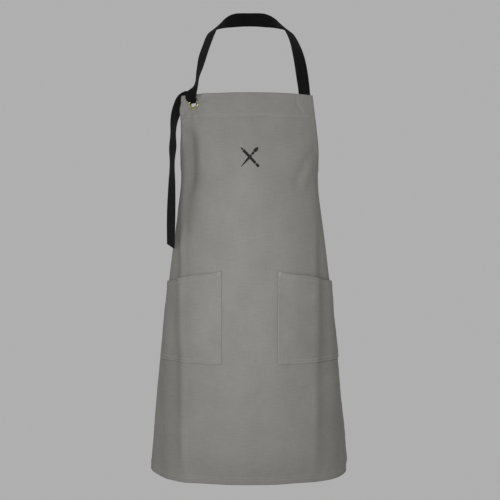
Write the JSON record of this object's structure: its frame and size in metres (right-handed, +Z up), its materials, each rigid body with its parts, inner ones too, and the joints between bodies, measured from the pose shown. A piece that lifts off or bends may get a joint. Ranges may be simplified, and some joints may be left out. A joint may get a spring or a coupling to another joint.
{
  "type": "artist smock apron",
  "caption": "Full-length canvas bib apron shaped as worn, with patch pockets, a webbing neck strap threaded through a brass eyelet, and waist ties bowed behind.",
  "frame": {"origin": "middle of the neck strap, where it rests on the wearer's nape", "axes": "+Z up along the apron's length, -Y towards what the apron faces, +X to the right of someone looking at its front"},
  "size_m": [0.4676, 0.2559, 1.092],
  "materials": {
    "canvas": "grey-taupe plain-weave cotton canvas, matt, double-fold stitched hems",
    "webbing": "black woven cotton webbing, matt",
    "brass": "antique brass, satin",
    "thread": "spun sewing and embroidery thread"
  },
  "bodies": {
    "root": {"canvas_panel": "canvas", "bib_top_facing": "canvas", "bottom_hem": "canvas", "armhole_hem_left": "canvas", "armhole_hem_right": "canvas", "side_hem_left": "canvas", "side_hem_right": "canvas", "pocket_left": "canvas", "pocket_right": "canvas", "pocket_hem_left": "canvas", "pocket_hem_right": "canvas", "bar_tack_left_inner": "thread", "bar_tack_left_outer": "thread", "bar_tack_right_inner": "thread", "bar_tack_right_outer": "thread", "eyelet_flange": "brass", "eyelet_washer": "brass", "neck_strap_sewn_end": "webbing", "neck_strap_eyelet_pass": "webbing", "waist_tie_left": "webbing", "waist_tie_right": "webbing", "tie_anchor_patch_left": "canvas", "tie_anchor_patch_right": "canvas", "waist_bow_knot": "webbing", "waist_bow_loop_left": "webbing", "waist_bow_loop_right": "webbing"},
    "neck_loop": {"neck_strap_loop": "webbing"},
    "strap_tail": {"neck_strap_tail": "webbing"},
    "bow_tail_left": {"waist_bow_tail_left": "webbing"},
    "bow_tail_right": {"waist_bow_tail_right": "webbing"}
  },
  "joints": [
    {"name": "neck_loop_fold", "type": "hinge", "parent": "root", "child": "neck_loop", "pos_m": [0, -0.158, -0.2055], "axis": [1, 0, 0], "range_deg": [-42, 33]},
    {"name": "strap_tail_swing", "type": "hinge", "parent": "root", "child": "strap_tail", "pos_m": [-0.165, -0.1265, -0.2355], "axis": [0, 1, 0], "range_deg": [0, 42]},
    {"name": "bow_tail_left_swing", "type": "hinge", "parent": "root", "child": "bow_tail_left", "pos_m": [-0.0105, 0.03288, -0.51363], "axis": [1, 0, 0], "range_deg": [-20, 48]},
    {"name": "bow_tail_right_swing", "type": "hinge", "parent": "root", "child": "bow_tail_right", "pos_m": [0.0105, 0.03288, -0.51363], "axis": [1, 0, 0], "range_deg": [-20, 48]}
  ]
}
